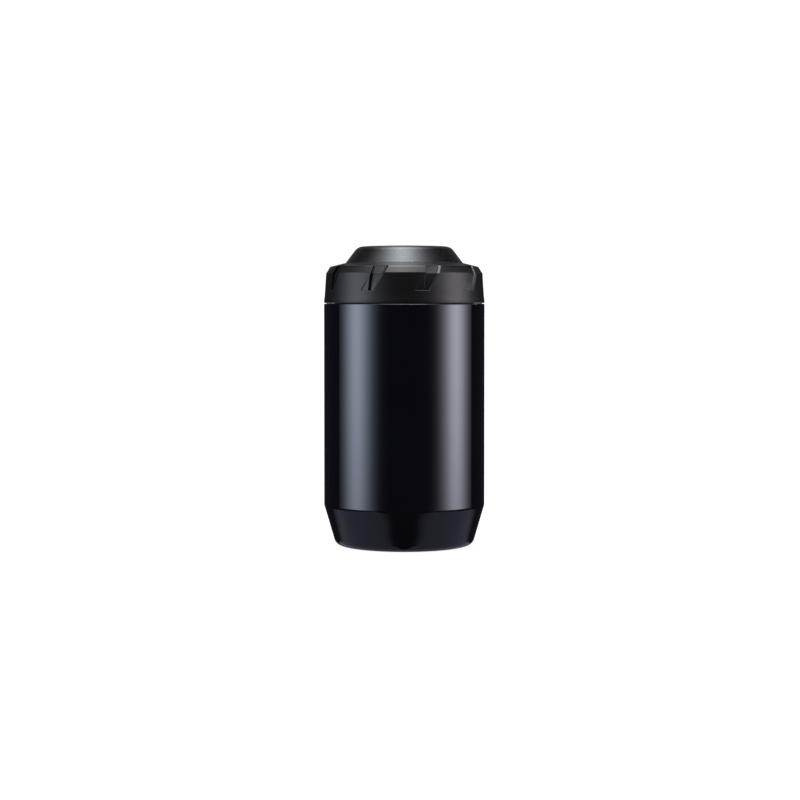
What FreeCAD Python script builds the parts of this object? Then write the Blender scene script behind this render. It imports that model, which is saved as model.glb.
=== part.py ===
import FreeCAD, Part
import os
import re
import Sketcher

# A storage canister for a bicycle's bottle cage. A moulded cup with a tapered foot is closed by a
# screw cap with slanted grip notches, and a rolled, padded tool wrap stands inside it.
# Millimetres. The origin is the middle of the foot, +Z is up, and the cap's notches are measured
# from -Y (the front) towards +X.

SIZES = {
    # shell: outside
    "shell_radius": 37.0,
    "foot_radius": 25.0,
    "foot_cone_radius": 31.58,
    "foot_cone_z": 0.4,
    "foot_fillet": 4.0,
    "taper_top_z": 18.87,
    "taper_fillet": 3.0,
    "shoulder_z": 111.45,
    "rim_round": 0.4,
    "neck_radius": 31.8,
    "neck_top_z": 123.5,
    # shell: inside
    "wall": 2.2,
    "recess_radius": 22.5,
    "recess_lip": 1.0,
    "recess_depth": 1.5,
    "floor_z": 4.0,
    "floor_radius": 30.57,
    "floor_fillet": 3.0,
    "throat_low_z": 106.4,
    "throat_high_z": 110.4,
    "mouth_radius": 30.0,
    "mouth_round": 0.5,
    # thread, two starts, right-hand
    "thread_starts": 2,
    "thread_lead": 9.0,
    "thread_depth": 1.1,
    "thread_root": 1.0,
    "thread_crest": 0.5,
    "thread_sink": 0.4,
    "neck_thread_z": 116.4,
    "neck_thread_rise": 6.0,
    "cap_thread_z": 114.74,
    "cap_thread_rise": 6.75,
    # gasket in the shoulder's groove
    "gasket_inner": 33.0,
    "gasket_outer": 35.9,
    "gasket_sunk": 0.9,
    "gasket_proud": 0.3,
    # cap
    "cap_radius": 36.97,
    "cap_bottom_z": 111.8,
    "cap_band_z": 113.0,
    "cap_rim_break": 0.12,
    "cap_flare_radius": 36.7,
    "cap_flare_z": 115.3,
    "cap_flank_radius": 36.05,
    "cap_flank_z": 125.4,
    "cap_edge_radius": 34.17,
    "cap_edge_z": 128.45,
    "cap_flank_fillet": 0.8,
    "cap_edge_fillet": 1.0,
    "cap_inner_radius": 33.2,
    "cap_roof_z": 125.7,
    "deck_z": 130.2,
    "seat_radius": 27.2,
    "seat_z": 128.2,
    "seat_break": 0.25,
    # grip notches
    "notch_count": 9,
    # raised disc
    "disc_radius": 27.05,
    "disc_crown_radius": 21.35,
    "disc_top_z": 137.8,
    "disc_crown_fillet": 4.6,
    "disc_dish_radius": 15.8,
    "disc_dish_floor": 15.2,
    "disc_dish_depth": 0.5,
    "disc_wall": 2.1,
    "disc_roof_z": 135.4,
    "disc_roof_radius": 19.6,
    "boss_circle": 15.5,
    "boss_radius": 2.8,
    "boss_bore": 1.1,
    "boss_bore_depth": 5.5,
    # disc screws
    "screw_count": 3,
    "screw_hole_radius": 1.5,
    "screw_pocket_radius": 2.6,
    "screw_pocket_depth": 1.3,
    "screw_head_radius": 2.3,
    "screw_head_height": 1.15,
    "screw_length": 6.5,
    "screw_slot_width": 0.6,
    "screw_slot_depth": 0.6,
    # foam pieces
    "liner_radius": 32.7,
    "liner_low_z": 123.65,
    "liner_thick": 1.95,
    "pad_radius": 27.8,
    "pad_thick": 3.0,
    # rolled tool wrap: half turns struck from two centres
    "wrap_low_z": 7.3,
    "wrap_length": 108.0,
    "wrap_radius": 29.1,
    "wrap_step": 1.65,
    "panel_thick": 2.0,
    "tape_thick": 0.35,
    "tape_width": 7.0,
    "stitch_gap": 0.05,
    "pocket_thick": 0.9,
    "pocket_low": 9.0,
    "strap_thick": 0.45,
    "strap_width": 22.0,
    "strap_low": 42.0,
}

# grip notch, section by section from its foot to above the deck: height, then the radius and angle
# of each corner of the cut: broken right edge, right wall, floor, finger ramp and left edge
NOTCH = {
    "foot": (117.4, [(37.15, -20.15), (36.2, -22.9), (35.65, -23.2), (35.3, -26.0), (36.45, -26.4),
                     (36.25, -32.2), (39.0, -33.2)]),
    "middle": (123.8, [(36.77, -14.33), (35.8, -17.1), (35.25, -17.4), (34.9, -24.9), (36.2, -25.1),
                       (36.3, -25.5), (39.0, -26.0)]),
    "fold": (125.0, [(36.69, -13.28), (35.73, -16.05), (35.2, -16.35), (34.85, -24.6), (36.3, -24.8),
                     (36.6, -25.1), (39.0, -25.5)]),
    "deck": (130.5, [(33.52, -8.27), (32.55, -11.3), (31.95, -11.6), (31.6, -23.4), (36.3, -23.5),
                     (36.8, -23.6), (39.0, -23.7)]),
}
for section, (height, corners) in NOTCH.items():
    SIZES["notch_%s_z" % section] = height
    for i, (radius, angle) in enumerate(corners):
        SIZES["notch_%s_radius_%d" % (section, i)] = radius
        SIZES["notch_%s_angle_%d" % (section, i)] = angle

# pocket: (layer of the roll, first angle, sweep, height)
POCKETS = {
    "lever_pocket": ("outer", 98.0, 76.0, 58.0),
    "inflator_pocket": ("middle", 186.0, 78.0, 66.0),
    "tube_pocket": ("middle", 272.0, 80.0, 72.0),
    "multitool_pocket": ("inner", 6.0, 78.0, 50.0),
}

# the cap's surfaces close between two notches
CAP_SEAM = 68.0

doc = FreeCAD.newDocument("StorageCanister")


# ---------------------------------------------------------------- the sheet and its expressions

def make_sheet():
    """The driving dimensions, one per row, each under its own name."""
    sheet = doc.addObject("Spreadsheet::Sheet", "Dims")
    for row, (name, size) in enumerate(SIZES.items(), start=1):
        sheet.set("A%d" % row, name)
        sheet.set("B%d" % row, str(size))
        sheet.setAlias("B%d" % row, name)
    doc.recompute()
    return sheet


dims = make_sheet()


def bound(text):
    """An expression with the sheet's name put before every dimension in it."""
    return re.sub(r"[a-z]\w*", lambda m: "Dims." + m.group() if m.group() in SIZES else m.group(), text)


def number(text):
    """The present value of such an expression."""
    found = dims.evalExpression(bound(text))
    return float(getattr(found, "Value", found))


def drive(thing, **sizes):
    """Binds properties of an object to the sheet."""
    for prop, text in sizes.items():
        thing.setExpression(prop.replace("__", "."), bound(text))


# ---------------------------------------------------------------- PartDesign helpers

def new_body(label):
    body = doc.addObject("PartDesign::Body", label)
    body.Label = label
    return body


def add_outline(body, name, plane, corners, lift=None, turned=0.0):
    """A closed polygon on one of the body's planes, each corner bound to the sheet.

    lift moves the plane along its normal, and turned swings an upright plane about Z.
    """
    sketch = body.newObject("Sketcher::SketchObject", name)
    planes = [f for f in body.Origin.OriginFeatures if f.Role == plane]
    sketch.AttachmentSupport = [(planes[0], "")]
    sketch.MapMode = "FlatFace"
    swing = FreeCAD.Rotation(FreeCAD.Vector(0, 1, 0), turned)
    sketch.AttachmentOffset = FreeCAD.Placement(FreeCAD.Vector(0, 0, 0), swing)
    if lift:
        drive(sketch, AttachmentOffset__Base__z=lift)
    points = [FreeCAD.Vector(number(x), number(y), 0) for x, y in corners]
    count = len(points)
    for i in range(count):
        sketch.addGeometry(Part.LineSegment(points[i], points[(i + 1) % count]), False)
    for i in range(count):
        sketch.addConstraint(Sketcher.Constraint("Coincident", i, 2, (i + 1) % count, 1))
    for i, (x, y) in enumerate(corners):
        for kind, text, place, axis in (("DistanceX", x, points[i].x, -2), ("DistanceY", y, points[i].y, -1)):
            if abs(place) < 1e-9:
                sketch.addConstraint(Sketcher.Constraint("PointOnObject", i, 1, axis))
                continue
            which = sketch.addConstraint(Sketcher.Constraint(kind, -1, 1, i, 1, place))
            sketch.setExpression("Constraints[%d]" % which, bound(text))
    return sketch


def add_circle(body, name, x, y, radius, lift):
    """A circle on a plane parallel to the floor."""
    sketch = body.newObject("Sketcher::SketchObject", name)
    planes = [f for f in body.Origin.OriginFeatures if f.Role == "XY_Plane"]
    sketch.AttachmentSupport = [(planes[0], "")]
    sketch.MapMode = "FlatFace"
    drive(sketch, AttachmentOffset__Base__z=lift)
    middle = FreeCAD.Vector(number(x), number(y), 0)
    sketch.addGeometry(Part.Circle(middle, FreeCAD.Vector(0, 0, 1), number(radius)), False)
    for kind, text, place, axis in (("DistanceX", x, middle.x, -2), ("DistanceY", y, middle.y, -1)):
        if abs(place) < 1e-9:
            sketch.addConstraint(Sketcher.Constraint("PointOnObject", 0, 3, axis))
            continue
        which = sketch.addConstraint(Sketcher.Constraint(kind, -1, 1, 0, 3, place))
        sketch.setExpression("Constraints[%d]" % which, bound(text))
    which = sketch.addConstraint(Sketcher.Constraint("Radius", 0, number(radius)))
    sketch.setExpression("Constraints[%d]" % which, bound(radius))
    return sketch


def add_turned(body, name, corners, seam=0.0):
    """A solid of revolution about Z; seam is the angle from +X where its surfaces close."""
    sketch = add_outline(body, name + "_outline", "XZ_Plane", corners, turned=seam)
    turned = body.newObject("PartDesign::Revolution", name)
    turned.Profile = sketch
    turned.ReferenceAxis = (sketch, ["V_Axis"])
    turned.Angle = 360.0
    doc.recompute()
    return turned


def ring_edges(feature, places):
    """Names of the feature's circular edges that lie at these (radius, height) pairs."""
    names = []
    for radius, height in places:
        for i, edge in enumerate(feature.Shape.Edges, start=1):
            if not hasattr(edge.Curve, "Radius"):
                continue
            on_radius = abs(edge.Curve.Radius - number(radius)) < 0.01
            if on_radius and abs(edge.Curve.Center.z - number(height)) < 0.01:
                names.append("Edge%d" % i)
    return names


def round_edges(body, name, base, radius, places, kind="PartDesign::Fillet"):
    """A fillet, or a chamfer, on ring edges."""
    dressed = body.newObject(kind, name)
    dressed.Base = (base, ring_edges(base, places))
    drive(dressed, **{"Size" if kind.endswith("Chamfer") else "Radius": radius})
    doc.recompute()
    return dressed


def polar(body, name, features, count):
    """Repeats features round Z."""
    pattern = body.newObject("PartDesign::PolarPattern", name)
    pattern.Originals = features
    axes = [f for f in body.Origin.OriginFeatures if f.Role == "Z_Axis"]
    pattern.Axis = (axes[0], [""])
    pattern.Angle = 360.0
    drive(pattern, Occurrences=count)
    body.Tip = pattern
    doc.recompute()
    return pattern


def add_thread(body, name, wall, inward, start_z, rise):
    """A two-start rib of trapezoid section round a wall; inward is 1 inside a cap, -1 on a neck."""
    root = "%s + %d * thread_sink" % (wall, inward)
    crest = "%s - %d * thread_depth" % (wall, inward)
    section = add_outline(body, name + "_section", "XZ_Plane", [
        (root, "%s - thread_root" % start_z),
        (wall, "%s - thread_root" % start_z),
        (crest, "%s - thread_crest" % start_z),
        (crest, "%s + thread_crest" % start_z),
        (wall, "%s + thread_root" % start_z),
        (root, "%s + thread_root" % start_z),
    ])
    rib = body.newObject("PartDesign::AdditiveHelix", name)
    rib.Profile = section
    rib.ReferenceAxis = (section, ["V_Axis"])
    rib.Mode = "pitch-height-angle"
    drive(rib, Pitch="thread_lead", Height=rise)
    doc.recompute()
    return polar(body, name + "_starts", [rib], "thread_starts")


# ---------------------------------------------------------------- hard pieces

def make_shell():
    """The moulded cup: recessed base, tapered foot, barrel, grooved shoulder and threaded neck."""
    body = new_body("canister_shell")
    cup = add_turned(body, "cup", [
        ("0", "recess_depth"),
        ("recess_radius - recess_lip", "recess_depth"),
        ("recess_radius", "0"),
        ("foot_radius", "0"),
        ("foot_cone_radius", "foot_cone_z"),
        ("shell_radius", "taper_top_z"),
        ("shell_radius", "shoulder_z"),
        ("gasket_outer", "shoulder_z"),
        ("gasket_outer", "shoulder_z - gasket_sunk"),
        ("gasket_inner", "shoulder_z - gasket_sunk"),
        ("gasket_inner", "shoulder_z"),
        ("neck_radius", "shoulder_z"),
        ("neck_radius", "neck_top_z"),
        ("mouth_radius", "neck_top_z"),
        ("mouth_radius", "throat_high_z"),
        ("shell_radius - wall", "throat_low_z"),
        ("shell_radius - wall", "taper_top_z"),
        ("floor_radius", "floor_z"),
        ("0", "floor_z"),
    ])
    foot = round_edges(body, "foot_round", cup, "foot_fillet", [("foot_cone_radius", "foot_cone_z")])
    waist = round_edges(body, "taper_round", foot, "taper_fillet", [
        ("shell_radius", "taper_top_z"),
        ("shell_radius - wall", "taper_top_z"),
    ])
    floor = round_edges(body, "floor_round", waist, "floor_fillet", [("floor_radius", "floor_z")])
    lip = round_edges(body, "lip_round", floor, "mouth_round", [
        ("mouth_radius", "neck_top_z"),
        ("neck_radius", "neck_top_z"),
    ])
    rim = round_edges(body, "rim_edge_round", lip, "rim_round", [("shell_radius", "shoulder_z")])
    body.Tip = rim
    add_thread(body, "neck_thread", "neck_radius", -1, "neck_thread_z", "neck_thread_rise")
    return body


def make_gasket():
    """The soft ring in the shoulder's groove that the cap's lower edge closes on."""
    body = new_body("shoulder_gasket")
    add_turned(body, "ring", [
        ("gasket_inner", "shoulder_z - gasket_sunk"),
        ("gasket_outer", "shoulder_z - gasket_sunk"),
        ("gasket_outer", "shoulder_z + gasket_proud"),
        ("gasket_inner", "shoulder_z + gasket_proud"),
    ])
    return body


def add_notches(body):
    """Slanted finger notches: a shallow recess that follows flank and deck edge, with a flat floor,
    a broken edge on its right and a shallow ramp for the finger at its lower left."""
    sections = []
    for name, (height, corners) in NOTCH.items():
        outline = []
        for i in range(len(corners)):
            radius = "notch_%s_radius_%d" % (name, i)
            angle = "notch_%s_angle_%d" % (name, i)
            outline.append(("%s * sin(%s)" % (radius, angle), "-%s * cos(%s)" % (radius, angle)))
        sections.append(add_outline(body, "notch_" + name, "XY_Plane", outline, lift="notch_%s_z" % name))
    notch = body.newObject("PartDesign::SubtractiveLoft", "notch")
    notch.Profile = sections[0]
    notch.Sections = sections[1:]
    notch.Ruled = True
    notch.Refine = False
    doc.recompute()
    return polar(body, "notches", [notch], "notch_count")


def make_cap():
    """The screw cap: threaded skirt, notched flank, sloping deck and the seat for the disc."""
    body = new_body("cap_shell")
    blank = add_turned(body, "blank", [
        ("cap_inner_radius", "cap_bottom_z"),
        ("cap_radius", "cap_bottom_z"),
        ("cap_radius", "cap_band_z"),
        ("cap_flare_radius", "cap_flare_z"),
        ("cap_flank_radius", "cap_flank_z"),
        ("cap_edge_radius", "cap_edge_z"),
        ("seat_radius", "deck_z"),
        ("seat_radius", "seat_z"),
        ("0", "seat_z"),
        ("0", "cap_roof_z"),
        ("cap_inner_radius", "cap_roof_z"),
    ], seam=CAP_SEAM)
    flank = round_edges(body, "flank_round", blank, "cap_flank_fillet",
                        [("cap_flank_radius", "cap_flank_z")])
    edge = round_edges(body, "edge_round", flank, "cap_edge_fillet",
                       [("cap_edge_radius", "cap_edge_z")])
    seat = round_edges(body, "seat_edge_break", edge, "seat_break", [("seat_radius", "deck_z")],
                       kind="PartDesign::Chamfer")
    rim = round_edges(body, "rim_edge_break", seat, "cap_rim_break", [
        ("cap_radius", "cap_bottom_z"),
        ("cap_inner_radius", "cap_bottom_z"),
    ], kind="PartDesign::Chamfer")
    body.Tip = rim
    add_notches(body)
    bores = []
    for name, radius, height in (("screw_hole", "screw_hole_radius", "seat_z - cap_roof_z"),
                                 ("screw_pocket", "screw_pocket_radius", "screw_pocket_depth")):
        circle = add_circle(body, name + "_circle", "0", "-boss_circle", radius, "cap_roof_z")
        bore = body.newObject("PartDesign::Pocket", name)
        bore.Profile = circle
        bore.Reversed = True
        drive(bore, Length=height)
        doc.recompute()
        bores.append(bore)
    polar(body, "screw_bores", bores, "screw_count")
    add_thread(body, "cap_thread", "cap_inner_radius", 1, "cap_thread_z", "cap_thread_rise")
    return body


def make_disc():
    """The raised disc: a dished hat with three screw bosses under it."""
    body = new_body("top_disc")
    hat = add_turned(body, "hat", [
        ("disc_radius - disc_wall", "seat_z"),
        ("disc_radius", "seat_z"),
        ("disc_radius", "deck_z"),
        ("disc_crown_radius", "disc_top_z"),
        ("disc_dish_radius", "disc_top_z"),
        ("disc_dish_floor", "disc_top_z - disc_dish_depth"),
        ("0", "disc_top_z - disc_dish_depth"),
        ("0", "disc_roof_z"),
        ("disc_roof_radius", "disc_roof_z"),
        ("disc_radius - disc_wall", "deck_z - 1"),
    ])
    crown = round_edges(body, "crown_round", hat, "disc_crown_fillet",
                        [("disc_crown_radius", "disc_top_z")])
    dish = round_edges(body, "dish_round", crown, "seat_break", [
        ("disc_dish_radius", "disc_top_z"),
        ("disc_radius", "deck_z"),
    ])
    body.Tip = dish
    circle = add_circle(body, "boss_circle_sketch", "0", "-boss_circle", "boss_radius", "seat_z")
    boss = body.newObject("PartDesign::Pad", "boss")
    boss.Profile = circle
    drive(boss, Length="disc_roof_z - seat_z + thread_sink")
    doc.recompute()
    hole = add_circle(body, "boss_bore_sketch", "0", "-boss_circle", "boss_bore", "seat_z")
    bore = body.newObject("PartDesign::Pocket", "boss_bore_cut")
    bore.Profile = hole
    bore.Reversed = True
    drive(bore, Length="boss_bore_depth")
    doc.recompute()
    polar(body, "bosses", [boss, bore], "screw_count")
    return body


def make_liner():
    """The foam disc under the cap's roof that seals on the neck's rim."""
    body = new_body("cap_liner")
    add_turned(body, "disc", [
        ("0", "liner_low_z"),
        ("liner_radius", "liner_low_z"),
        ("liner_radius", "liner_low_z + liner_thick"),
        ("0", "liner_low_z + liner_thick"),
    ])
    return body


def make_pad():
    """The foam disc on the shell's floor."""
    body = new_body("base_pad")
    add_turned(body, "disc", [
        ("0", "floor_z"),
        ("pad_radius", "floor_z"),
        ("pad_radius", "floor_z + pad_thick"),
        ("0", "floor_z + pad_thick"),
    ])
    return body


# ---------------------------------------------------------------- pieces made of primitives

def add_cylinder(name, radius, height, x, y, low):
    rod = doc.addObject("Part::Cylinder", name)
    drive(rod, Radius=radius, Height=height, Placement__Base__x=x, Placement__Base__y=y,
          Placement__Base__z=low)
    return rod


def add_cut(name, solid, tool):
    cut = doc.addObject("Part::Cut", name)
    cut.Base = solid
    cut.Tool = tool
    return cut


def add_union(name, solids):
    union = doc.addObject("Part::MultiFuse", name)
    union.Shapes = solids
    union.Refine = True
    return union


def make_screw(which):
    """A pan-head self-tapping screw, head down, with a cross recess in its head."""
    turn = "%d * 360 / screw_count" % which
    x = "boss_circle * sin(%s)" % turn
    y = "-boss_circle * cos(%s)" % turn
    bearing = "cap_roof_z + screw_pocket_depth"
    head_low = bearing + " - screw_head_height"
    tag = "screw_%d" % which
    head = add_cylinder(tag + "_head", "screw_head_radius", "screw_head_height", x, y, head_low)
    shank = add_cylinder(tag + "_shank", "boss_bore", "screw_length", x, y, bearing)
    screw = add_union(tag + "_blank", [head, shank])
    for side, long_side, short_side in (("a", "Length", "Width"), ("b", "Width", "Length")):
        slot = doc.addObject("Part::Box", tag + "_slot_" + side)
        offsets = {long_side: "screw_head_radius * 1.2", short_side: "screw_slot_width"}
        drive(slot, Height="screw_slot_depth", Placement__Base__z=head_low, **offsets)
        drive(slot, Placement__Base__x="%s - %s / 2" % (x, offsets["Length"]),
              Placement__Base__y="%s - %s / 2" % (y, offsets["Width"]))
        screw = add_cut(tag + "_cut_" + side, screw, slot)
    return screw


def make_screws():
    """The three screws that hold the disc."""
    group = doc.addObject("Part::Compound", "disc_screws")
    group.Links = [make_screw(i) for i in range(SIZES["screw_count"])]
    group.Label = "disc_screws"
    return group


def add_arc_wall(name, centre_x, outer, thick, start, sweep, low, height):
    """Part of a tube: a curved wall from one angle to another, about its own centre."""
    rods = []
    for side, radius in (("outer", outer), ("inner", "%s - %s" % (outer, thick))):
        rod = add_cylinder("%s_%s" % (name, side), radius, height, centre_x, "0", low)
        rod.Placement.Rotation = FreeCAD.Rotation(FreeCAD.Vector(0, 0, 1), start)
        rod.Angle = sweep
        rods.append(rod)
    return add_cut(name, rods[0], rods[1])


# layer of the roll: (x of its centre, outer radius, first angle, sweep)
LAYERS = {
    "outer": ("0", "wrap_radius", 0.0, 180.0),
    "middle": ("-wrap_step", "wrap_radius - wrap_step", 180.0, 180.0),
    "inner": ("0", "wrap_radius - 2 * wrap_step", 0.0, 90.0),
}


def add_roll(name, proud, low, height):
    """The rolled sheet between two heights; proud is how far it is thickened on both faces."""
    walls = []
    for layer, (centre_x, outer, start, sweep) in LAYERS.items():
        walls.append(add_arc_wall("%s_%s" % (name, layer), centre_x, "%s + %s" % (outer, proud),
                                  "panel_thick + 2 * (%s)" % proud, start, sweep, low, height))
    return add_union(name, walls)


def make_panel():
    """The wrap's padded panel."""
    return add_roll("wrap_panel", "0", "wrap_low_z + tape_thick + stitch_gap",
                    "wrap_length - 2 * (tape_thick + stitch_gap)")


def make_tape(name, low, core_low):
    """A tape folded over one edge of the panel: a channel that follows the roll."""
    thick = add_roll(name + "_fold", "tape_thick + stitch_gap", low, "tape_width")
    core = add_roll(name + "_core", "stitch_gap", core_low, "tape_width - tape_thick")
    tape = add_cut(name, thick, core)
    tape.Label = name
    return tape


def make_pocket(name):
    """A flat pocket lying against the inner face of one layer of the roll."""
    layer, start, sweep, height = POCKETS[name]
    centre_x, outer = LAYERS[layer][:2]
    face = "%s - panel_thick - stitch_gap" % outer
    return add_arc_wall(name, centre_x, face, "pocket_thick", start, sweep,
                        "wrap_low_z + pocket_low", "%g" % height)


def make_strap():
    """The elastic band round the roll."""
    low = "wrap_low_z + strap_low"
    inner = "wrap_radius + stitch_gap"
    outside = add_cylinder("strap_outside", inner + " + strap_thick", "strap_width", "0", "0", low)
    inside = add_cylinder("strap_inside", inner, "strap_width", "0", "0", low)
    return add_cut("wrap_strap", outside, inside)


# ---------------------------------------------------------------- build, check and write

pieces = [make_shell(), make_gasket(), make_pad(), make_cap(), make_disc(), make_screws(), make_liner(),
          make_panel(),
          make_tape("wrap_bottom_binding", "wrap_low_z", "wrap_low_z + tape_thick"),
          make_tape("wrap_top_binding", "wrap_low_z + wrap_length - tape_width",
                    "wrap_low_z + wrap_length - tape_width")]
pieces += [make_pocket(name) for name in POCKETS]
pieces.append(make_strap())
doc.recompute()

for thing in doc.Objects:
    if "Invalid" in thing.State or "Error" in thing.State:
        raise RuntimeError("%s did not rebuild: %s" % (thing.Label, thing.State))

os.makedirs("parts", exist_ok=True)
for piece in pieces:
    shape = piece.Shape
    if shape.isNull() or not shape.isValid():
        raise RuntimeError("%s has no valid shape" % piece.Label)
    box = shape.BoundBox
    print("%-20s %d solids %10.1f mm3  x %.2f..%.2f  y %.2f..%.2f  z %.2f..%.2f" % (
        piece.Label, len(shape.Solids), shape.Volume,
        box.XMin, box.XMax, box.YMin, box.YMax, box.ZMin, box.ZMax))
    shape.exportStep("parts/%s.step" % piece.Label)
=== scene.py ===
import bisect
import math

import bpy
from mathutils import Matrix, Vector, noise


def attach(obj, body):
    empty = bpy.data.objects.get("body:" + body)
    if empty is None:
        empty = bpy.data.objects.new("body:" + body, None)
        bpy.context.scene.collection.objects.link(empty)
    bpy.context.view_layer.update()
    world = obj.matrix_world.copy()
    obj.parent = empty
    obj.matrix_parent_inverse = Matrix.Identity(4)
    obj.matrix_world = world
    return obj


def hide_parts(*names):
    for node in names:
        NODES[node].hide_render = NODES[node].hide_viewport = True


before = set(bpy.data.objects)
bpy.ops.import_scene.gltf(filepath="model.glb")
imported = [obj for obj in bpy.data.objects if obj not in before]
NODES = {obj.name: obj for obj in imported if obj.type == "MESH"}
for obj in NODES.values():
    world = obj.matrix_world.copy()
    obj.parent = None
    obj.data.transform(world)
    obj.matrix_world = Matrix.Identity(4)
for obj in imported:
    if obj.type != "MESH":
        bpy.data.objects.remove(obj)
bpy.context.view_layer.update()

# A storage canister for a bicycle's bottle cage: gloss cup, satin screw cap with a raised disc,
# and a rolled tool wrap inside. Metres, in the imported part's own frame; the wrap's shapes are
# worked out in millimetres.

MM = 0.001


# ---------------------------------------------------------------- shader helpers

class Graph:
    """A node tree that is written as nested calls."""

    def __init__(self, tree):
        self.tree = tree

    def node(self, kind, **settings):
        made = self.tree.nodes.new(kind)
        for name, value in settings.items():
            setattr(made, name, value)
        return made

    def feed(self, socket, value):
        """Joins a socket to another, or sets its value."""
        if isinstance(value, bpy.types.NodeSocket):
            self.tree.links.new(value, socket)
        else:
            socket.default_value = value

    def math(self, operation, a, b=0.0, c=0.0, clamp=False):
        made = self.node("ShaderNodeMath", operation=operation, use_clamp=clamp)
        for socket, value in zip(made.inputs, (a, b, c)):
            self.feed(socket, value)
        return made.outputs[0]

    def add(self, *terms):
        total = terms[0]
        for term in terms[1:]:
            total = self.math("ADD", total, term)
        return total

    def times(self, *terms):
        product = terms[0]
        for term in terms[1:]:
            product = self.math("MULTIPLY", product, term)
        return product

    def ramp(self, value, low, high, to_low=0.0, to_high=1.0, smooth=True):
        """Maps low..high on to to_low..to_high, eased at both ends if smooth."""
        kind = "SMOOTHSTEP" if smooth else "LINEAR"
        made = self.node("ShaderNodeMapRange", interpolation_type=kind)
        for name, number in (("Value", value), ("From Min", low), ("From Max", high),
                             ("To Min", to_low), ("To Max", to_high)):
            self.feed(made.inputs[name], number)
        return made.outputs["Result"]

    def mix(self, factor, a, b):
        """Mixes two colours."""
        made = self.node("ShaderNodeMix", data_type="RGBA")
        self.feed(made.inputs[0], factor)
        self.feed(made.inputs[6], a)
        self.feed(made.inputs[7], b)
        return made.outputs[2]

    def noise(self, place, scale, detail=3.0, roughness=0.5):
        made = self.node("ShaderNodeTexNoise")
        self.feed(made.inputs["Vector"], place)
        made.inputs["Scale"].default_value = scale
        made.inputs["Detail"].default_value = detail
        made.inputs["Roughness"].default_value = roughness
        return made.outputs["Fac"]

    def cells(self, place, scale, feature="F1"):
        made = self.node("ShaderNodeTexVoronoi", feature=feature)
        self.feed(made.inputs["Vector"], place)
        made.inputs["Scale"].default_value = scale
        return made

    def bump(self, height, distance, strength=1.0, under=None):
        made = self.node("ShaderNodeBump")
        made.inputs["Distance"].default_value = distance
        made.inputs["Strength"].default_value = strength
        self.feed(made.inputs["Height"], height)
        if under is not None:
            self.feed(made.inputs["Normal"], under)
        return made.outputs["Normal"]

    def split(self, vector):
        made = self.node("ShaderNodeSeparateXYZ")
        self.feed(made.inputs[0], vector)
        return made.outputs[0], made.outputs[1], made.outputs[2]

    def join(self, x, y, z):
        made = self.node("ShaderNodeCombineXYZ")
        for socket, value in zip(made.inputs, (x, y, z)):
            self.feed(socket, value)
        return made.outputs[0]


def grey(level, tint=(1.0, 1.0, 1.0)):
    """A colour of one level in all channels, times a tint."""
    return tuple(level * t for t in tint) + (1.0,)


def new_material(name, **constants):
    """A principled material; constants are put on its own sockets. Returns it, its graph, its
    shader node and the object-space position."""
    material = bpy.data.materials.new(name)
    material.use_nodes = True
    shader = material.node_tree.nodes["Principled BSDF"]
    for socket, value in constants.items():
        shader.inputs[socket.replace("_", " ")].default_value = value
    graph = Graph(material.node_tree)
    place = graph.node("ShaderNodeTexCoord").outputs["Object"]
    return material, graph, shader, place


# ---------------------------------------------------------------- materials of the hard pieces

# Where a finish changes on the CAD part, as the radius or height at which the change starts and
# the one at which it is done.
OUTSIDE_TO_INSIDE = (35.8 * MM, 35.3 * MM)
ABOVE_FLOOR = (2.6 * MM, 3.4 * MM)
UNDER_FOOT = (1.0 * MM, 0.2 * MM)
SHOULDER_RIM = (111.0 * MM, 111.1 * MM)
NECK = (111.46 * MM, 111.6 * MM)
CAP_DECK = (127.8 * MM, 128.1 * MM)
TAPER_TOP = 18.87 * MM
TAPER_LEAN = 0.2935          # how far the foot's wall goes in for the height it goes down
WORN_EDGE = 0.28 * MM


def gloss_black():
    """Polished black moulding; inside the cup and under the foot it is a satin one."""
    material, g, shader, place = new_material("gloss_shell", IOR=1.5,
                                              Specular_Tint=(0.93, 0.96, 1.0, 1.0))
    x, y, z = g.split(place)
    radius = g.math("SQRT", g.add(g.times(x, x), g.times(y, y)))
    below_taper = g.math("MAXIMUM", g.math("SUBTRACT", TAPER_TOP, z), 0.0)
    upright = g.add(radius, g.times(below_taper, TAPER_LEAN))
    inside = g.times(g.ramp(upright, *OUTSIDE_TO_INSIDE), g.ramp(z, *ABOVE_FLOOR))
    ends = g.math("MAXIMUM", g.ramp(z, *UNDER_FOOT), g.ramp(z, *NECK))
    satin = g.math("MAXIMUM", inside, ends)
    # faint upright rub marks from the cage, and a barely wavy skin
    drawn_out = g.join(g.times(x, 60.0), g.times(y, 60.0), g.times(z, 6.0))
    marks = g.ramp(g.noise(drawn_out, 14.0, detail=5.0, roughness=0.62), 0.56, 0.8)
    haze = g.noise(place, 38.0, detail=3.0)
    polish = g.add(0.035, g.times(haze, 0.025), g.times(marks, 0.05),
                   g.times(g.ramp(z, *SHOULDER_RIM), 0.14))
    rough = g.add(g.times(polish, g.math("SUBTRACT", 1.0, satin)), g.times(satin, 0.34))
    g.feed(shader.inputs["Roughness"], rough)
    black = (1.0, 0.95, 1.8)
    tone = g.mix(haze, grey(0.0012, black), grey(0.002, black))
    g.feed(shader.inputs["Base Color"], g.mix(satin, tone, grey(0.006)))
    wave = g.bump(g.noise(place, 45.0, detail=1.0), distance=0.00002, strength=0.25)
    grain = g.times(satin, g.noise(place, 2600.0, detail=3.0, roughness=0.6))
    g.feed(shader.inputs["Normal"], g.bump(grain, distance=0.00003, strength=0.6, under=wave))
    return material


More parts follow.
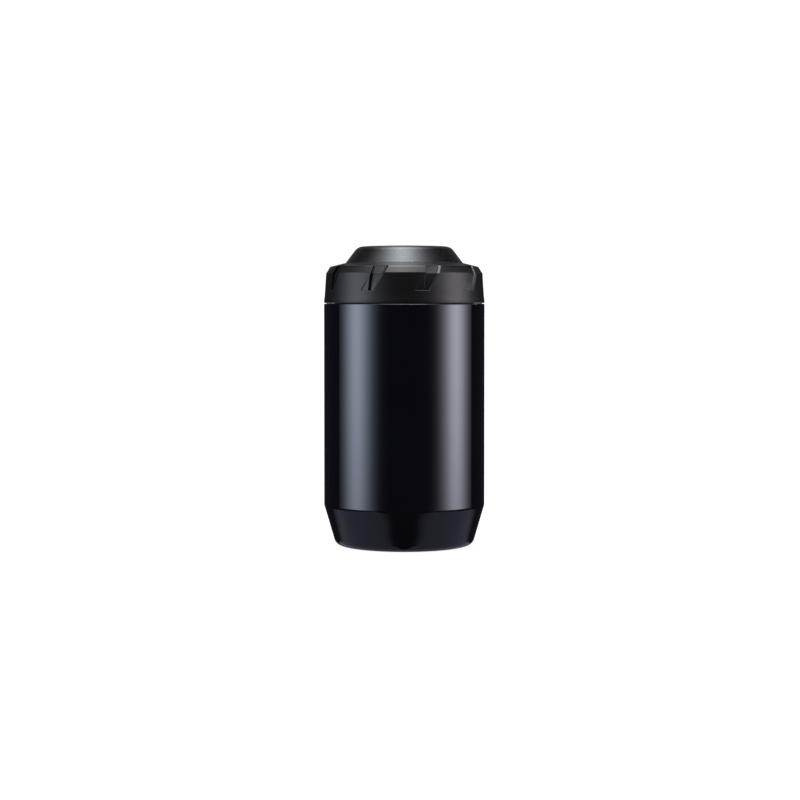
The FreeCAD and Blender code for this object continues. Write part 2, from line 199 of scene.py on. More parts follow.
def satin_black():
    """The cap's spark-eroded moulding: an even fine grain, smoother on the deck, with edges
    rounded by wear."""
    material, g, shader, place = new_material("satin_cap", IOR=1.38,
                                              Specular_Tint=(1.0, 0.95, 0.93, 1.0))
    z = g.split(place)[2]
    grain = g.noise(place, 2900.0, detail=3.0, roughness=0.65)
    pits = g.cells(place, 3400.0).outputs["Distance"]
    patches = g.noise(place, 55.0, detail=4.0, roughness=0.6)
    deck = g.ramp(z, *CAP_DECK)
    rough = g.add(g.times(deck, -0.16), 0.34, g.times(patches, 0.07), g.times(grain, 0.05))
    g.feed(shader.inputs["Roughness"], rough)
    tone = g.mix(g.ramp(grain, 0.35, 0.75), grey(0.0008), grey(0.002))
    g.feed(shader.inputs["Base Color"], tone)
    worn = g.node("ShaderNodeBevel", samples=6)
    worn.inputs["Radius"].default_value = WORN_EDGE
    height = g.add(g.times(grain, 0.7), g.times(pits, 0.3))
    skin = g.bump(height, distance=0.00004, strength=0.55, under=worn.outputs[0])
    g.feed(shader.inputs["Normal"], skin)
    return material


def speckled_black():
    """The disc's coarser grain; its smoother flakes also get a lighter colour, a painted glint."""
    material, g, shader, place = new_material("speckled_disc", IOR=1.41)
    grain = g.noise(place, 1900.0, detail=4.0, roughness=0.7)
    flakes = g.cells(place, 1500.0)
    flake = g.ramp(g.split(flakes.outputs["Color"])[0], 0.86, 0.99)
    rough = g.add(0.24, g.times(grain, 0.08), g.times(flake, -0.08))
    g.feed(shader.inputs["Roughness"], rough)
    tone = g.mix(g.ramp(grain, 0.4, 0.72), grey(0.001, (0.9, 1.0, 1.05)),
                 grey(0.004, (0.9, 1.0, 1.08)))
    # painted glint: the flakes are coloured lighter as well as made smoother
    painted_glint = grey(0.02, (0.93, 1.0, 1.06))
    g.feed(shader.inputs["Base Color"], g.mix(g.times(flake, 0.5), tone, painted_glint))
    g.feed(shader.inputs["Normal"], g.bump(grain, distance=0.00004, strength=0.7))
    return material


def seal_rubber():
    material, g, shader, place = new_material("seal_rubber", IOR=1.3)
    dust = g.noise(place, 700.0, detail=4.0, roughness=0.65)
    g.feed(shader.inputs["Roughness"], g.ramp(dust, 0.2, 0.8, 0.5, 0.72))
    g.feed(shader.inputs["Base Color"], g.mix(g.ramp(dust, 0.4, 0.8), grey(0.003), grey(0.008)))
    g.feed(shader.inputs["Normal"], g.bump(dust, distance=0.00004, strength=0.4))
    return material


def plated_steel():
    material, g, shader, place = new_material("screw_steel", Metallic=1.0)
    brushed = g.noise(place, 1800.0, detail=3.0)
    zinc = (1.0, 1.0, 1.03)
    g.feed(shader.inputs["Roughness"], g.ramp(brushed, 0.2, 0.8, 0.24, 0.42))
    g.feed(shader.inputs["Base Color"], g.mix(brushed, grey(0.42, zinc), grey(0.62, zinc)))
    g.feed(shader.inputs["Normal"], g.bump(brushed, distance=0.00002, strength=0.3))
    return material


def closed_cell_foam():
    material, g, shader, place = new_material("foam", IOR=1.35)
    bubbles = g.cells(place, 1700.0, feature="SMOOTH_F1").outputs["Distance"]
    mottle = g.noise(place, 160.0, detail=4.0)
    g.feed(shader.inputs["Roughness"], g.ramp(mottle, 0.2, 0.8, 0.72, 0.9))
    g.feed(shader.inputs["Base Color"], g.mix(g.ramp(bubbles, 0.1, 0.7), grey(0.07), grey(0.03)))
    g.feed(shader.inputs["Normal"], g.bump(bubbles, distance=0.00012, strength=0.6))
    return material


def paint(node, material):
    """Gives a CAD node's object a better material."""
    mesh = NODES[node].data
    if not mesh.materials:
        mesh.materials.append(material)
    for i in range(len(mesh.materials)):
        mesh.materials[i] = material


# ---------------------------------------------------------------- materials of the soft pieces

# the circle that stands for the roll's turns when a weave is laid round it
ROLL_CENTRE_X = -0.8 * MM
ROLL_RADIUS = 26.4 * MM


def round_the_roll(g, place):
    """How far along the rolled cloth and how high a point is, metres."""
    x, y, z = g.split(place)
    turn = g.math("ARCTAN2", y, g.math("SUBTRACT", x, ROLL_CENTRE_X))
    return g.times(turn, ROLL_RADIUS), z


def woven(g, along, up, pitch):
    """A plain weave: 0 between the threads to 1 on top of them."""
    across = g.times(along, math.pi / pitch)
    upright = g.times(up, math.pi / pitch)
    warp = g.math("ABSOLUTE", g.math("SINE", across))
    weft = g.math("ABSOLUTE", g.math("SINE", upright))
    over = g.ramp(g.times(g.math("COSINE", across), g.math("COSINE", upright)), -0.2, 0.2)
    return g.add(g.times(over, warp), g.times(g.math("SUBTRACT", 1.0, over), weft))


def fabric(name, dark, light, tint, height_of, depth, rough, sheen):
    """A cloth whose relief is height_of(graph, along, up); its troughs are dull and get a darker
    colour, a painted shade.
    """
    material, g, shader, place = new_material(name, IOR=1.45, Sheen_Weight=sheen,
                                              Sheen_Roughness=0.45)
    along, up = round_the_roll(g, place)
    relief = height_of(g, along, up)
    fuzz = g.noise(place, 2400.0, detail=3.0, roughness=0.6)
    worn = g.noise(place, 70.0, detail=4.0, roughness=0.6)
    # painted shade: the troughs of the relief get the darker colour, the raised threads the lighter
    # one
    trough_shade_mask = g.ramp(g.add(g.times(relief, 0.8), g.times(fuzz, 0.3)), 0.1, 0.95)
    tone = g.mix(trough_shade_mask, grey(dark, tint), grey(light, tint))
    faded = g.ramp(worn, 0.45, 0.85, 0.0, 0.35)
    g.feed(shader.inputs["Base Color"], g.mix(faded, tone, grey(light * 1.5, tint)))
    g.feed(shader.inputs["Roughness"], g.add(rough, g.times(fuzz, 0.12), g.times(worn, 0.06)))
    height = g.add(relief, g.times(fuzz, 0.25))
    g.feed(shader.inputs["Normal"], g.bump(height, distance=depth, strength=0.8))
    return material


def knit(g, along, up):
    """Columns of small V-shaped loops."""
    column = g.times(along, math.pi / (0.85 * MM))
    ridge = g.math("ABSOLUTE", g.math("SINE", column))
    lean = g.times(ridge, 0.5 * MM)
    loops = g.math("SINE", g.times(g.add(up, lean), 2.0 * math.pi / (0.7 * MM)))
    return g.times(g.math("POWER", ridge, 0.5), g.add(0.6, g.times(loops, 0.4)))


def nylon(g, along, up):
    return woven(g, along, up, 0.55 * MM)


def grosgrain(g, along, up):
    """Fine ribs straight across a tape."""
    ribs = g.math("ABSOLUTE", g.math("SINE", g.times(along, math.pi / (0.8 * MM))))
    picks = g.math("SINE", g.times(up, 2.0 * math.pi / (0.45 * MM)))
    return g.times(ribs, g.add(0.85, g.times(picks, 0.15)))


def elastic(g, along, up):
    """Cords along the band, held by a close weave."""
    cords = g.math("ABSOLUTE", g.math("SINE", g.times(up, math.pi / (1.35 * MM))))
    weave = g.times(woven(g, along, up, 0.5 * MM), 0.45)
    return g.times(g.math("POWER", cords, 0.6), g.add(0.55, weave))


def thread(g, along, up):
    """Twisted sewing thread."""
    twist = g.math("SINE", g.times(g.add(along, up), 2.0 * math.pi / (0.32 * MM)))
    return g.add(0.5, g.times(twist, 0.5))


# ---------------------------------------------------------------- the rolled tool wrap, millimetres

class Line:
    """A flat curve through points, run along by length."""

    def __init__(self, points):
        self.points = points
        self.at = [0.0]
        for a, b in zip(points, points[1:]):
            self.at.append(self.at[-1] + math.dist(a, b))
        self.length = self.at[-1]

    def point(self, along, out, z):
        i = min(max(bisect.bisect_right(self.at, along), 1), len(self.points) - 1)
        (ax, ay), (bx, by) = self.points[i - 1], self.points[i]
        step = self.at[i] - self.at[i - 1]
        part = (along - self.at[i - 1]) / step
        nx, ny = (by - ay) / step, (ax - bx) / step
        return (ax + (bx - ax) * part + nx * out, ay + (by - ay) * part + ny * out, z)


def arc(centre_x, radius, first, sweep):
    """Points on part of a circle, one a degree."""
    count = max(2, round(abs(sweep)))
    angles = [math.radians(first + sweep * i / count) for i in range(count + 1)]
    return [(centre_x + radius * math.cos(a), radius * math.sin(a)) for a in angles]


# layer: (x of its centre, radius of the panel's middle, first angle, sweep)
LAYERS = {
    "outer": (0.0, 28.1, 0.0, 180.0),
    "middle": (-1.65, 26.45, 180.0, 180.0),
    "inner": (0.0, 24.8, 0.0, 90.0),
}
# each layer starts on the point where the one before it ends
ROLL = Line(arc(*LAYERS["outer"]) + arc(*LAYERS["middle"])[1:] + arc(*LAYERS["inner"])[1:])
PANEL_HALF = 1.0
PANEL_LOW, PANEL_HIGH = 7.7, 114.9
TAPE = 0.35                  # its thickness
TAPE_WIDE = 7.0
CLEAR = 0.05                 # between the panel's face and what lies on it
OUTER_FACE, MIDDLE_FACE = 29.15, 27.5       # the outside of those layers, where the band lies
STRAP_LOW, STRAP_WIDE = 49.3, 22.0
STRAP_CLEAR = 0.22           # from that outside to the middle of the band
LAP_ANGLE, LAP_SWEEP = 62.0, 33.0

# pocket: (layer, first angle, sweep, height, depth of its hem)
POCKETS = {
    "lever_pocket": ("outer", 98.0, 76.0, 58.0, 7.0),
    "inflator_pocket": ("middle", 186.0, 78.0, 66.0, 8.0),
    "tube_pocket": ("middle", 272.0, 80.0, 72.0, 8.0),
    "multitool_pocket": ("inner", 6.0, 78.0, 50.0, 7.0),
}
POCKET_LOW = 16.3
SEWN_IN = 1.6                # from a pocket's edge to its seam
HEM_STEP = 0.4


def rough_of(u, v, size, seed):
    """Smooth noise from -1 to 1 with lumps of about size."""
    return noise.noise(Vector((u / size, v / size, seed * 7.3)))


def pocket_spans():
    """Each pocket's place on the unrolled panel: where it starts, where it ends, and its top."""
    spans = []
    start = 0.0
    for layer, (_, radius, first, sweep) in LAYERS.items():
        for on, angle, turn, height, _ in POCKETS.values():
            if on == layer:
                low = start + math.radians(angle - first) * radius
                spans.append((low, low + math.radians(turn) * radius, POCKET_LOW + height))
        start += math.radians(sweep) * radius
    return spans


def to_seam(s, z, spans):
    """Distance from a point on the panel to the nearest pocket's seam."""
    best = math.inf
    for low, high, top in spans:
        if z <= top + 1.0:
            beyond = max(POCKET_LOW + SEWN_IN - z, 0.0)
            for side in (low + SEWN_IN, high - SEWN_IN):
                best = min(best, math.hypot(s - side, beyond))
        if low < s < high:
            best = min(best, abs(z - POCKET_LOW - SEWN_IN))
    return best


def steps(low, high, step, fine=()):
    """Even steps with extra ones close to both ends."""
    count = max(1, round((high - low) / step))
    inner = [low + (high - low) * i / count for i in range(count + 1)]
    return sorted(set(inner + [low + f for f in fine] + [high - f for f in fine]))


def make_piece(name, points, faces, material, body):
    """A smooth mesh from points in millimetres, riding on its body with its slot set."""
    mesh = bpy.data.meshes.new(name)
    mesh.from_pydata([tuple(c * MM for c in p) for p in points], [], faces)
    mesh.update()
    mesh.materials.append(material)
    mesh.shade_smooth()
    piece = bpy.data.objects.new(name, mesh)
    bpy.context.scene.collection.objects.link(piece)
    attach(piece, body)
    return piece


def slab(across, up, surface):
    """A closed sheet. surface(u, v, side) is a point of its face on side +1 or -1."""
    points = [surface(u, v, side) for side in (1, -1) for v in up for u in across]
    row = len(across)
    half = row * len(up)
    faces = []
    for j in range(len(up) - 1):
        for i in range(row - 1):
            a = j * row + i
            faces.append((a, a + 1, a + row + 1, a + row))
            faces.append((half + a, half + a + row, half + a + row + 1, half + a + 1))
    for j in range(len(up) - 1):
        for i, turned in ((0, False), (row - 1, True)):
            a = j * row + i
            quad = (a, a + row, half + a + row, half + a)
            faces.append(quad[::-1] if turned else quad)
    for i in range(row - 1):
        for j, turned in ((0, False), (len(up) - 1, True)):
            a = j * row + i
            quad = (a, half + a, half + a + 1, a + 1)
            faces.append(quad[::-1] if turned else quad)
    return points, faces


def rounded(distance, reach):
    """1 inside a sheet, easing to nothing at its edge."""
    near = min(max(distance / reach, 0.0), 1.0)
    return math.sqrt(1.0 - (1.0 - near) ** 2)


def make_panel(material):
    """The padded panel: it is pressed thin along every seam and creases a little as it rolls."""
    spans = pocket_spans()
    length = ROLL.length
    pressed, seam_reach, edge_reach, sink = 0.33, 1.3, 1.2, 0.1

    def surface(s, z, side):
        edge = min(s, length - s)
        seam = to_seam(s, z, spans)
        half = PANEL_HALF * (0.3 + 0.7 * rounded(edge, edge_reach))
        half -= pressed * math.exp(-(seam / seam_reach) ** 2)
        crease = 0.1 * rough_of(s, z * 0.22, 3.2, 3.0 + side) + 0.06 * rough_of(s, z, 9.0, 5.0)
        return ROLL.point(s, side * (half - sink + crease), z)

    points, faces = slab(steps(0.0, length, 1.15, fine=(0.1, 0.3, 0.65)),
                         steps(PANEL_LOW, PANEL_HIGH, 1.3, fine=(0.2, 0.6)), surface)
    return make_piece("wrap_panel_cloth", points, faces, material, "tool_wrap")


def make_binding(name, edge, into, material):
    """A tape folded over the panel's edge at height edge; into is +1 where the panel is above."""
    inside = PANEL_HALF + CLEAR
    outside = inside + TAPE
    # the tape's section: (out from the panel's middle, in from the folded edge)
    skin = [(outside, TAPE_WIDE), (outside, 4.5), (outside, 2.0), (outside, 0.7),
            (outside * 0.8, 0.18), (outside * 0.4, 0.0), (-outside * 0.4, 0.0),
            (-outside * 0.8, 0.18), (-outside, 0.7), (-outside, 2.0), (-outside, 4.5),
            (-outside, TAPE_WIDE)]
    lining = [(-inside, TAPE_WIDE), (-inside, 0.8), (-inside * 0.5, TAPE), (inside * 0.5, TAPE),
              (inside, 0.8), (inside, TAPE_WIDE)]
    section = skin + lining
    sewn_at = 5.4
    along = steps(0.0, ROLL.length, 1.1)
    points = []
    for s in along:
        sway = 0.22 * rough_of(s, edge, 6.0, 2.0)
        for k, (out, rise) in enumerate(section):
            on_skin = k < len(skin)
            pinch = 0.09 * math.exp(-((rise - sewn_at) / 0.6) ** 2) * (1.0 if on_skin else 0.0)
            pucker = 0.04 * math.sin(s * 2.1) * (1.0 if rise > 5.0 else 0.4)
            out -= math.copysign(pinch + pucker, out)
            lift = min(rise + (sway if rise > 4.0 else 0.0), TAPE_WIDE)
            points.append(ROLL.point(s, out, edge + into * lift))
    size = len(section)
    faces = []
    for j in range(len(along) - 1):
        for i in range(size):
            k = (i + 1) % size
            quad = (j * size + i, j * size + k, (j + 1) * size + k, (j + 1) * size + i)
            faces.append(quad if into < 0 else quad[::-1])
    first = tuple(range(size))
    last = tuple((len(along) - 1) * size + i for i in range(size))
    faces += [first if into > 0 else first[::-1], last[::-1] if into > 0 else last]
    return make_piece(name, points, faces, material, "tool_wrap")


def pocket_surface(name):
    """The pocket's line on its layer, and how far its cloth stands in from that layer's face."""
    layer, first, sweep, height, hem = POCKETS[name]
    centre, middle = LAYERS[layer][:2]
    line = Line(arc(centre, middle - PANEL_HALF - CLEAR, first, sweep))
    resting, puffed = 0.2, 0.42

    def depth(u, v):
        side = min(u, line.length - u)
        free = rounded(side - SEWN_IN, 9.0) * rounded(v - SEWN_IN, 10.0)
        puff = puffed * free if side > SEWN_IN and v > SEWN_IN else 0.0
        crease = 0.07 * rough_of(u * 1.3, v * 0.5, 5.0, len(name)) * (0.3 + free)
        return resting + puff + crease

    return line, depth, height, hem


def make_pocket(name, material):
    """One pocket with its folded hem. Returns the piece and its flat size."""
    line, depth, height, hem = pocket_surface(name)
    cloth_half, hem_half, deepest = 0.15, 0.11, 0.9
    hem_edge = height - hem

    def surface(u, v, side):
        folded = hem_half * min(max((v - hem_edge) / HEM_STEP, 0.0), 1.0)
        edge = min(u, line.length - u, v)
        half = (cloth_half + folded) * (0.45 + 0.55 * rounded(edge, 0.8))
        inward = min(max(depth(u, v) - side * half, 0.0), deepest)
        return line.point(u, -inward, POCKET_LOW + v)

    heights = steps(0.0, height, 1.6, fine=(0.3,)) + [hem_edge, hem_edge + HEM_STEP]
    points, faces = slab(steps(0.0, line.length, 1.2, fine=(0.3,)), sorted(set(heights)), surface)
    piece = make_piece(name + "_cloth", points, faces, material, "tool_wrap")
    return piece, (line.length, height)


def make_strap(material):
    """The elastic band: it hugs the roll, bridges the step at the roll's free edge and laps over
    itself where it is sewn. Returns the piece, its flat size and where its lap lies."""
    radius = OUTER_FACE + STRAP_CLEAR
    lower = MIDDLE_FACE + STRAP_CLEAR
    centre = LAYERS["middle"][0]
    leaves = math.degrees(math.acos(lower / (radius - centre)))
    bridge = arc(centre, lower, 360.0 - leaves, 0.01)[0]
    once = arc(0.0, radius, LAP_ANGLE, 180.0 - LAP_ANGLE)
    once += arc(centre, lower, 181.0, 179.0 - leaves)
    for i in range(1, 12):
        part = i / 12
        once.append((bridge[0] + (radius - bridge[0]) * part, bridge[1] * (1.0 - part)))
    once += arc(0.0, radius, 0.0, LAP_ANGLE - 1.0)
    over = arc(0.0, radius, LAP_ANGLE, LAP_SWEEP)
    line = Line(once + over)
    lap = line.length - Line(over).length
    half, climb, climbs = 0.2, 6.0, 0.46

    def surface(s, v, side):
        climbed = min(max((s - lap + climb) / climb, 0.0), 1.0)
        lift = climbs * climbed * climbed * (3.0 - 2.0 * climbed)
        edge = min(v, STRAP_WIDE - v)
        thin = 0.75 + 0.25 * rounded(edge, 0.7)
        wave = 0.07 * math.sin(s * 1.9) * math.exp(-edge / 1.5)
        return line.point(s, lift + side * half * thin + 0.4 * wave, STRAP_LOW + v + wave)

    points, faces = slab(steps(0.0, line.length, 0.8),
                         steps(0.0, STRAP_WIDE, 1.1, fine=(0.25, 0.6)), surface)
    piece = make_piece("wrap_strap_elastic", points, faces, material, "tool_wrap")
    return piece, (STRAP_WIDE, line.length), (line, lap)


def add_stitch(points, faces, middle, ahead, out, reach, wide=0.24):
    """One stitch: a slim capsule that lies along ahead and stands out a little."""
    middle, ahead, out = Vector(middle), Vector(ahead).normalized(), Vector(out).normalized()
    aside = ahead.cross(out)
    first = len(points)
    # ring: (place along the stitch, girth, how far it stands out)
    rings = ((-1.0, 0.25, -0.18), (-0.62, 0.85, 0.05), (0.0, 1.0, 0.12), (0.62, 0.85, 0.05),
             (1.0, 0.25, -0.18))
    corners = 6
    flat = 0.7
    for along, girth, lift in rings:
        for k in range(corners):
            a = 2.0 * math.pi * k / corners
            place = middle + ahead * (along * reach) + aside * (math.cos(a) * girth * wide)
            points.append(tuple(place + out * (lift + math.sin(a) * girth * wide * flat)))
    for j in range(len(rings) - 1):
        for k in range(corners):
            a, b = first + j * corners + k, first + j * corners + (k + 1) % corners
            faces.append((a, b, b + corners, a + corners))
    faces.append(tuple(first + k for k in reversed(range(corners))))
    faces.append(tuple(first + (len(rings) - 1) * corners + k for k in range(corners)))


def sew(points, faces, place, start, end, out_of, pitch=3.0):
    """A straight row of stitches from start to end, both (along, up); place gives a point."""
    (u0, v0), (u1, v1) = start, end
    length = math.dist(start, end)
    count = max(1, int(length / pitch))
    for i in range(count):
        part = (i + 0.5) / count
        u, v = u0 + (u1 - u0) * part, v0 + (v1 - v0) * part
        step = 0.2 / length
        near = Vector(place(u, v))
        ahead = Vector(place(u + (u1 - u0) * step, v + (v1 - v0) * step)) - near
        add_stitch(points, faces, near, ahead, out_of(u, v), pitch * 0.36)


def outward(line, sign=1.0):
    """The direction away from a line's inner side, at any place on it."""
    def direction(u, v):
        a, b = Vector(line.point(u, 0.0, v)), Vector(line.point(u, 1.0, v))
        return (b - a) * sign
    return direction


def sew_path(points, faces, place, corners, out_of, pitch=3.0):
    """Rows of stitches from corner to corner."""
    for start, end in zip(corners, corners[1:]):
        sew(points, faces, place, start, end, out_of, pitch)


def make_stitches(strap, material):
    """All the sewing: bindings, pockets through the panel, hems and the strap's boxed lap."""
    points, faces = [], []
    length = ROLL.length
    for side in (1, -1):
        for z in (PANEL_LOW + 5.0, PANEL_HIGH - 5.0):
            sew(points, faces, lambda u, v: ROLL.point(u, side * (PANEL_HALF + TAPE - 0.02), v),
                (1.5, z), (length - 1.5, z), outward(ROLL, side))
    for low, high, top in pocket_spans():
        left, right, base = low + SEWN_IN, high - SEWN_IN, POCKET_LOW + SEWN_IN
        sew_path(points, faces, lambda u, v: ROLL.point(u, 0.6 * PANEL_HALF, v),
                 ((left, top - 1.0), (left, base), (right, base), (right, top - 1.0)),
                 outward(ROLL))
    for name in POCKETS:
        line, depth, height, hem = pocket_surface(name)
        left, right = SEWN_IN, line.length - SEWN_IN
        base, top, hemmed = SEWN_IN, height - 1.0, height - hem + 0.9

        def on_cloth(u, v):
            return line.point(u, -min(depth(u, v) + 0.2, 0.86), POCKET_LOW + v)

        sew_path(points, faces, on_cloth, ((left, top), (left, base), (right, base), (right, top)),
                 outward(line, -1.0))
        sew(points, faces, on_cloth, (left, hemmed), (right, hemmed), outward(line, -1.0))
    line, lap = strap
    left, right = lap + 3.0, line.length - 1.5
    base, top = STRAP_LOW + 2.5, STRAP_LOW + STRAP_WIDE - 2.5
    box = ((left, base), (right, base), (right, top), (left, top), (left, base))
    for path in (box, ((left, base), (right, top)), ((right, base), (left, top))):
        sew_path(points, faces, lambda u, v: line.point(u, 0.66, v), path, outward(line), 2.3)
    return make_piece("wrap_stitching", points, faces, material, "tool_wrap")


def foam_disc(name, section, rings, material, body, seed):
    """A die-cut foam disc. section lists radius and height from the middle of its lower face to
    the middle of its upper one. rings lists the prints that other pieces leave, each a radius, a
    width and a depth: up into the lower face, or down into the upper one if it is negative."""
    points = [(0.0, 0.0, section[0][1])]
    around = 120
    for k, (radius, z) in enumerate(section[1:-1]):
        is_under = k < (len(section) - 2) / 2
        pressed = 0.0
        if is_under == (rings[0][2] > 0):
            pressed = sum(deep * math.exp(-((radius - at) / wide) ** 2) for at, wide, deep in rings)
        for i in range(around):
            a = 2.0 * math.pi * i / around
            x, y = radius * math.cos(a), radius * math.sin(a)
            give = noise.noise(Vector((x / 7.0, y / 7.0, seed + k * 0.01)))
            points.append((x, y, z + pressed + 0.05 * give))
    points.append((0.0, 0.0, section[-1][1]))
    faces = []
    for i in range(around):
        k = (i + 1) % around
        faces.append((0, 1 + k, 1 + i))
        for j in range(len(section) - 3):
            a, b = 1 + j * around + i, 1 + j * around + k
            faces.append((a, b, b + around, a + around))
        base = 1 + (len(section) - 3) * around
        faces.append((base + i, base + k, len(points) - 1))
    return make_piece(name, points, faces, material, body)


def disc_section(radius, low, high, edge):
    """From the middle of the lower face, round the rim and back along the upper one."""
    step, crown, corner = 1.2, 0.06, edge * 0.3
    spread = [radius - edge - i * step for i in range(int((radius - edge) / step))]
    under = [(0.0, low)] + [(r, low + crown) for r in reversed(spread)]
    rim = [(radius - corner, low + crown + corner), (radius, low + edge), (radius, high - edge),
           (radius - corner, high - crown - corner)]
    over = [(r, high - crown) for r in spread] + [(0.0, high)]
    return under + rim + over


def soft_pieces():
    """Makes and seats every soft piece, each in the place of its plain CAD solid."""
    panel_cloth = fabric("wrap_fabric", dark=0.018, light=0.062, tint=(0.92, 1.0, 1.1),
                         height_of=knit, depth=0.00022, rough=0.74, sheen=0.35)
    pocket_cloth = fabric("pocket_fabric", dark=0.035, light=0.11, tint=(0.95, 1.0, 1.06),
                          height_of=nylon, depth=0.00012, rough=0.55, sheen=0.1)
    tape = fabric("binding_tape", dark=0.006, light=0.026, tint=(1.0, 1.0, 1.05),
                  height_of=grosgrain, depth=0.00014, rough=0.6, sheen=0.15)
    band = fabric("strap_elastic", dark=0.008, light=0.032, tint=(1.0, 1.0, 1.04),
                  height_of=elastic, depth=0.0002, rough=0.62, sheen=0.2)
    sewing = fabric("stitch_thread", dark=0.16, light=0.34, tint=(1.0, 0.99, 0.95),
                    height_of=thread, depth=0.00004, rough=0.5, sheen=0.1)
    foam = closed_cell_foam()

    panel = make_panel(panel_cloth)
    low_tape = make_binding("wrap_bottom_binding_tape", PANEL_LOW - 0.4, 1, tape)
    high_tape = make_binding("wrap_top_binding_tape", PANEL_HIGH + 0.4, -1, tape)
    strap, strap_flat, strap_place = make_strap(band)
    stitches = make_stitches(strap_place, sewing)
    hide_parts("wrap_panel")
    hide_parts("wrap_bottom_binding")
    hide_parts("wrap_top_binding")
    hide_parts("wrap_strap")
    for name in POCKETS:
        pocket, (wide, high) = make_pocket(name, pocket_cloth)
        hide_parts(name)

    neck_print = [(30.9, 0.9, 0.28)]
    roll_prints = [(24.6, 1.6, -0.12), (27.0, 1.4, -0.16)]
    liner = foam_disc("cap_liner_foam", disc_section(32.7, low=123.65, high=125.6, edge=0.35),
                      neck_print, foam, "liner", seed=11.0)
    pad = foam_disc("base_pad_foam", disc_section(27.8, low=4.0, high=7.0, edge=0.6),
                    roll_prints, foam, "canister", seed=23.0)
    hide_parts("cap_liner")
    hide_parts("base_pad")


# ---------------------------------------------------------------- studio

def bell(g, value, centre, width):
    """1 at the centre, falling to 1/e a width away."""
    away = g.math("DIVIDE", g.math("SUBTRACT", value, centre), width)
    return g.math("POWER", math.e, g.times(away, away, -1.0))


def strip(g, azimuth, centre, width, edge, softness=0.6):
    """A tall soft light: bright round its centre, cut off sharply at its outer edge. Degrees."""
    side = 1.0 if edge > 0 else -1.0
    inside = g.ramp(g.times(azimuth, side), abs(edge) + softness, abs(edge) - softness)
    return g.times(bell(g, azimuth, centre, width), inside)


def backdrop(g, colour, strength):
    """One light of the world, as a background shader."""
    made = g.node("ShaderNodeBackground")
    made.inputs["Color"].default_value = colour + (1.0,)
    g.feed(made.inputs["Strength"], strength)
    return made.outputs[0]


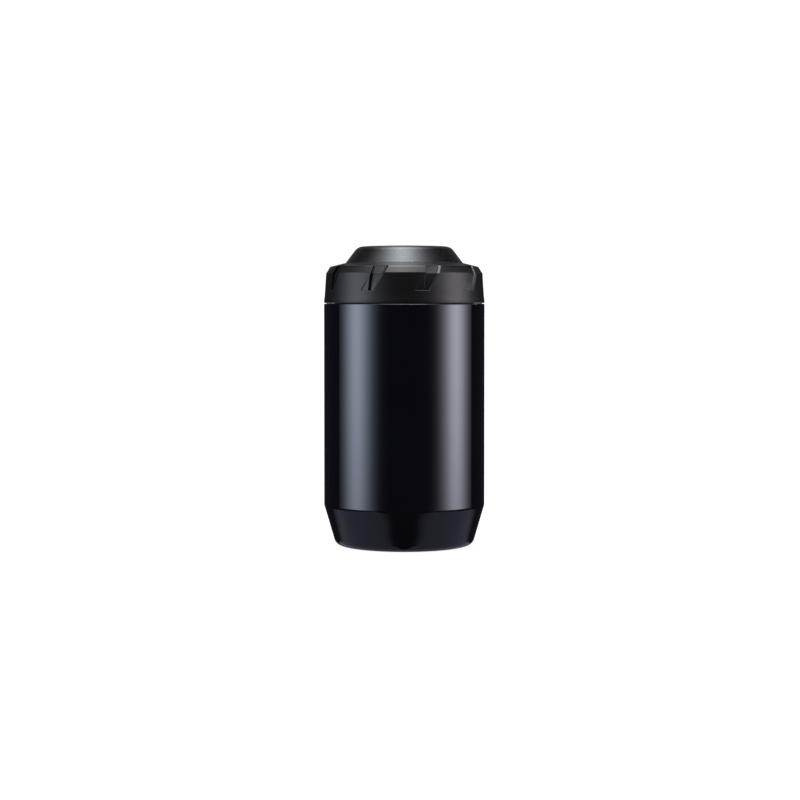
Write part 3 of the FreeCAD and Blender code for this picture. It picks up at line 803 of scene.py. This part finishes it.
def studio_world():
    """White to the eye. Everything else sees a dark room with two tall strips at the sides, a light
    overhead, a table below and a faint glow behind. Angles are in degrees: azimuth is 0 towards
    the viewer and grows to the right, height is above the level, ahead and aside are the lean from
    straight up, away from the viewer and to the right."""
    world = bpy.data.worlds.new("studio")
    world.use_nodes = True
    world.node_tree.nodes.clear()
    g = Graph(world.node_tree)
    x, y, z = g.split(g.node("ShaderNodeTexCoord").outputs["Generated"])
    azimuth = g.math("DEGREES", g.math("ARCTAN2", x, g.times(y, -1.0)))
    turn = g.math("ABSOLUTE", azimuth)
    height = g.math("DEGREES", g.math("ARCSINE", z))
    ahead = g.math("DEGREES", g.math("ARCTAN2", y, z))
    aside = g.math("DEGREES", g.math("ARCTAN2", x, z))

    tall = g.times(g.ramp(height, -16.0, 0.0), g.ramp(height, 42.0, 18.0))
    left = g.times(tall, strip(g, azimuth, centre=-71.0, width=19.5, edge=-106.5), 6.0)
    right = g.times(tall, strip(g, azimuth, centre=77.8, width=18.6, edge=111.5), 7.3)

    above = g.times(g.ramp(z, 0.05, 0.3), g.ramp(ahead, -46.0, -17.0))
    front, tail = g.ramp(ahead, 28.0, 4.0), g.ramp(ahead, 60.0, 40.0)
    along = g.add(g.times(front, 14.0), g.times(tail, 1.2))
    top = g.times(above, bell(g, aside, centre=-2.5, width=19.0), along)

    # the table is lit at the sides only; its dark middle widens with the distance from the foot
    lean = g.ramp(height, -40.2, -36.5, 17.0, 41.0, smooth=False)
    near = g.ramp(g.math("SUBTRACT", turn, lean), -6.5, 6.5)
    table = g.times(g.ramp(height, -18.0, -24.0), near, 0.33)
    behind = g.times(g.ramp(turn, 125.0, 160.0), g.ramp(height, 2.0, 12.0), 0.1)

    lights = [backdrop(g, (0.85, 0.85, 1.0), 0.02),
              backdrop(g, (0.92, 1.0, 1.2), left),
              backdrop(g, (1.03, 1.0, 1.16), right),
              backdrop(g, (0.96, 1.0, 1.08), top),
              backdrop(g, (0.96, 0.98, 1.25), table),
              backdrop(g, (0.98, 1.0, 1.1), behind)]
    total = lights[0]
    for light in lights[1:]:
        both = g.node("ShaderNodeAddShader")
        g.feed(both.inputs[0], total)
        g.feed(both.inputs[1], light)
        total = both.outputs[0]
    seen = g.node("ShaderNodeMixShader")
    g.feed(seen.inputs[0], g.node("ShaderNodeLightPath").outputs["Is Camera Ray"])
    g.feed(seen.inputs[1], total)
    g.feed(seen.inputs[2], backdrop(g, (1.0, 1.0, 1.0), 1.1))
    out = g.node("ShaderNodeOutputWorld")
    g.feed(out.inputs["Surface"], seen.outputs[0])
    bpy.context.scene.world = world


def floor():
    """A plain pale floor, left out of the gloss reflections."""
    size, cells = 4.0, 8
    row = cells + 1
    places = [(-0.5 + i / cells) * size for i in range(row)]
    points = [(x, y, 0.0) for y in places for x in places]
    corners = [j * row + i for j in range(cells) for i in range(cells)]
    faces = [(a, a + 1, a + row + 1, a + row) for a in corners]
    mesh = bpy.data.meshes.new("floor")
    mesh.from_pydata(points, [], faces)
    plane = bpy.data.objects.new("floor", mesh)
    bpy.context.scene.collection.objects.link(plane)
    material, g, shader, place = new_material("pale_floor", Roughness=0.9, Specular_IOR_Level=0.0,
                                              Emission_Color=grey(1.0), Emission_Strength=0.93)
    g.feed(shader.inputs["Base Color"], g.mix(g.noise(place, 6.0), grey(0.09), grey(0.11)))
    mesh.materials.append(material)
    plane.visible_glossy = False


def camera():
    """0.9 m in front, at the height of the seam between cap and shell, looking almost level."""
    aim_left, distance, eye = 1.97 * MM, 0.9, 0.112
    tilt_down = 1.452
    data = bpy.data.cameras.new("camera")
    data.lens = 87.75
    data.sensor_width = 36.0
    data.shift_y = -0.06
    data.clip_start = 0.01
    made = bpy.data.objects.new("camera", data)
    bpy.context.scene.collection.objects.link(made)
    made.location = (-aim_left, -distance, eye)
    made.rotation_euler = (math.radians(90.0 - tilt_down), 0.0, 0.0)
    bpy.context.scene.camera = made


studio_world()
floor()
camera()
bpy.context.scene.view_settings.view_transform = "Standard"

paint("canister_shell", gloss_black())
paint("cap_shell", satin_black())
paint("top_disc", speckled_black())
paint("shoulder_gasket", seal_rubber())
paint("disc_screws", plated_steel())
soft_pieces()
